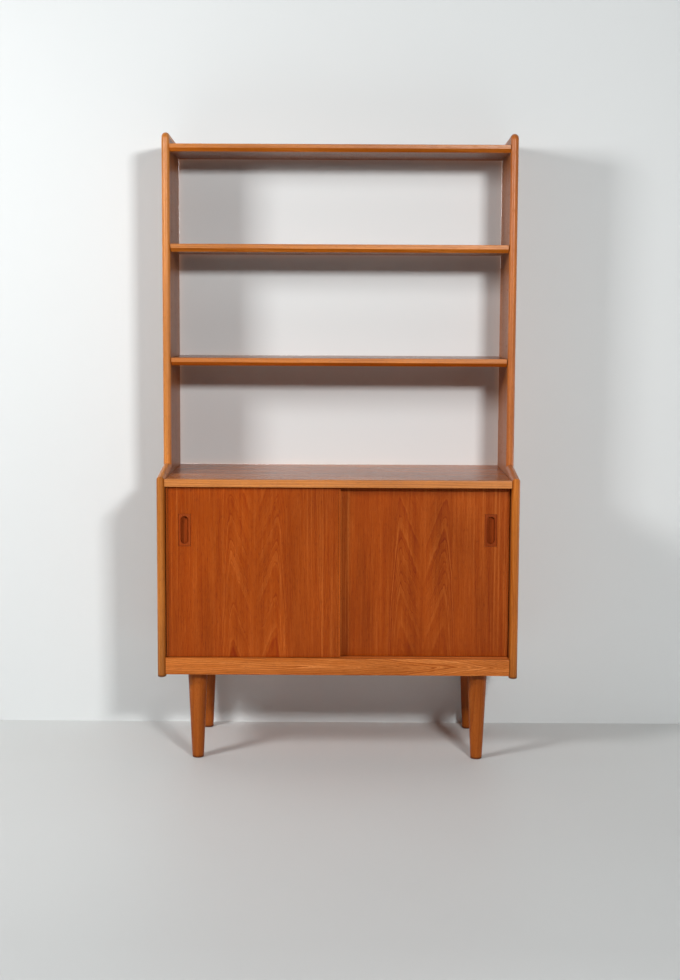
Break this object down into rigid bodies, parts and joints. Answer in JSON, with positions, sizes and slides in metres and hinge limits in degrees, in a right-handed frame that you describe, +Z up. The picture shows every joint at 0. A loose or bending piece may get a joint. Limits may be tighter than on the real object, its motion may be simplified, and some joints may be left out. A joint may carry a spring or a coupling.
{
  "type": "bookcase with adjustable shelves",
  "caption": "Mid-century teak bookcase: open adjustable shelves with a slim upper part, over a deeper cabinet with sliding doors on turned tapered legs.",
  "frame": {"origin": "on the floor, under the middle of the bounding box", "axes": "+Z up, +X to the right of someone facing the doors, the doors face -Y"},
  "size_m": [0.9, 0.41, 1.5764],
  "materials": {
    "teak_side_veneer": "oiled teak veneer, vertical grain",
    "teak_lipping": "solid teak lipping, lighter than the veneer",
    "teak_shelf_veneer": "oiled teak veneer, grain along the shelf",
    "teak_door_veneer": "oiled reddish teak veneer, vertical cathedral grain",
    "teak_rail": "solid teak rail, wavy grain along the rail",
    "teak_pull": "solid teak finger pull",
    "teak_leg": "turned teak, satin",
    "plywood_back": "thin plywood, unpolished",
    "zinc_steel": "zinc-plated steel",
    "brass": "brass"
  },
  "bodies": {
    "carcass": {"cabinet_back": "plywood_back", "cabinet_floor": "teak_shelf_veneer", "cabinet_top": "teak_shelf_veneer", "cabinet_top_lip": "teak_lipping", "front_rail": "teak_rail", "leg_bolt_front_left": "zinc_steel", "leg_bolt_front_right": "zinc_steel", "leg_bolt_rear_left": "zinc_steel", "leg_bolt_rear_right": "zinc_steel", "leg_front_left": "teak_leg", "leg_front_right": "teak_leg", "leg_plate_front_left": "zinc_steel", "leg_plate_front_right": "zinc_steel", "leg_plate_rear_left": "zinc_steel", "leg_plate_rear_right": "zinc_steel", "leg_rear_left": "teak_leg", "leg_rear_right": "teak_leg", "rear_rail": "teak_rail", "shelf_pin_inner_left_front": "brass", "shelf_pin_inner_left_rear": "brass", "shelf_pin_inner_right_front": "brass", "shelf_pin_inner_right_rear": "brass", "shelf_pin_middle_left_front": "brass", "shelf_pin_middle_left_rear": "brass", "shelf_pin_middle_right_front": "brass", "shelf_pin_middle_right_rear": "brass", "shelf_pin_upper_left_front": "brass", "shelf_pin_upper_left_rear": "brass", "shelf_pin_upper_right_front": "brass", "shelf_pin_upper_right_rear": "brass", "side_lip_left_lower": "teak_lipping", "side_lip_left_slope": "teak_lipping", "side_lip_left_top": "teak_lipping", "side_lip_left_upper": "teak_lipping", "side_lip_right_lower": "teak_lipping", "side_lip_right_slope": "teak_lipping", "side_lip_right_top": "teak_lipping", "side_lip_right_upper": "teak_lipping", "side_panel_left": "teak_side_veneer", "side_panel_right": "teak_side_veneer", "top_shelf": "teak_shelf_veneer", "top_shelf_lip": "teak_lipping"},
    "left_door": {"left_door_edge_left": "teak_lipping", "left_door_edge_right": "teak_lipping", "left_door_panel": "teak_door_veneer", "left_door_pull": "teak_pull"},
    "right_door": {"right_door_edge_left": "teak_lipping", "right_door_edge_right": "teak_lipping", "right_door_panel": "teak_door_veneer", "right_door_pull": "teak_pull"},
    "upper_shelf": {"upper_shelf": "teak_shelf_veneer", "upper_shelf_lip": "teak_lipping"},
    "middle_shelf": {"middle_shelf": "teak_shelf_veneer", "middle_shelf_lip": "teak_lipping"},
    "inner_shelf": {"inner_shelf": "teak_shelf_veneer", "inner_shelf_lip": "teak_lipping"}
  },
  "joints": [
    {"name": "left_door_slide", "type": "slide", "parent": "carcass", "child": "left_door", "axis": [1, 0, 0], "range_m": [0, 0.42]},
    {"name": "right_door_slide", "type": "slide", "parent": "carcass", "child": "right_door", "axis": [1, 0, 0], "range_m": [-0.42, 0]},
    {"name": "upper_shelf_lift", "type": "slide", "parent": "carcass", "child": "upper_shelf", "axis": [0, 0, 1], "range_m": [0, 0.144]},
    {"name": "middle_shelf_lift", "type": "slide", "parent": "carcass", "child": "middle_shelf", "axis": [0, 0, 1], "range_m": [0, 0.192]},
    {"name": "inner_shelf_lift", "type": "slide", "parent": "carcass", "child": "inner_shelf", "axis": [0, 0, 1], "range_m": [0, 0.096]}
  ]
}
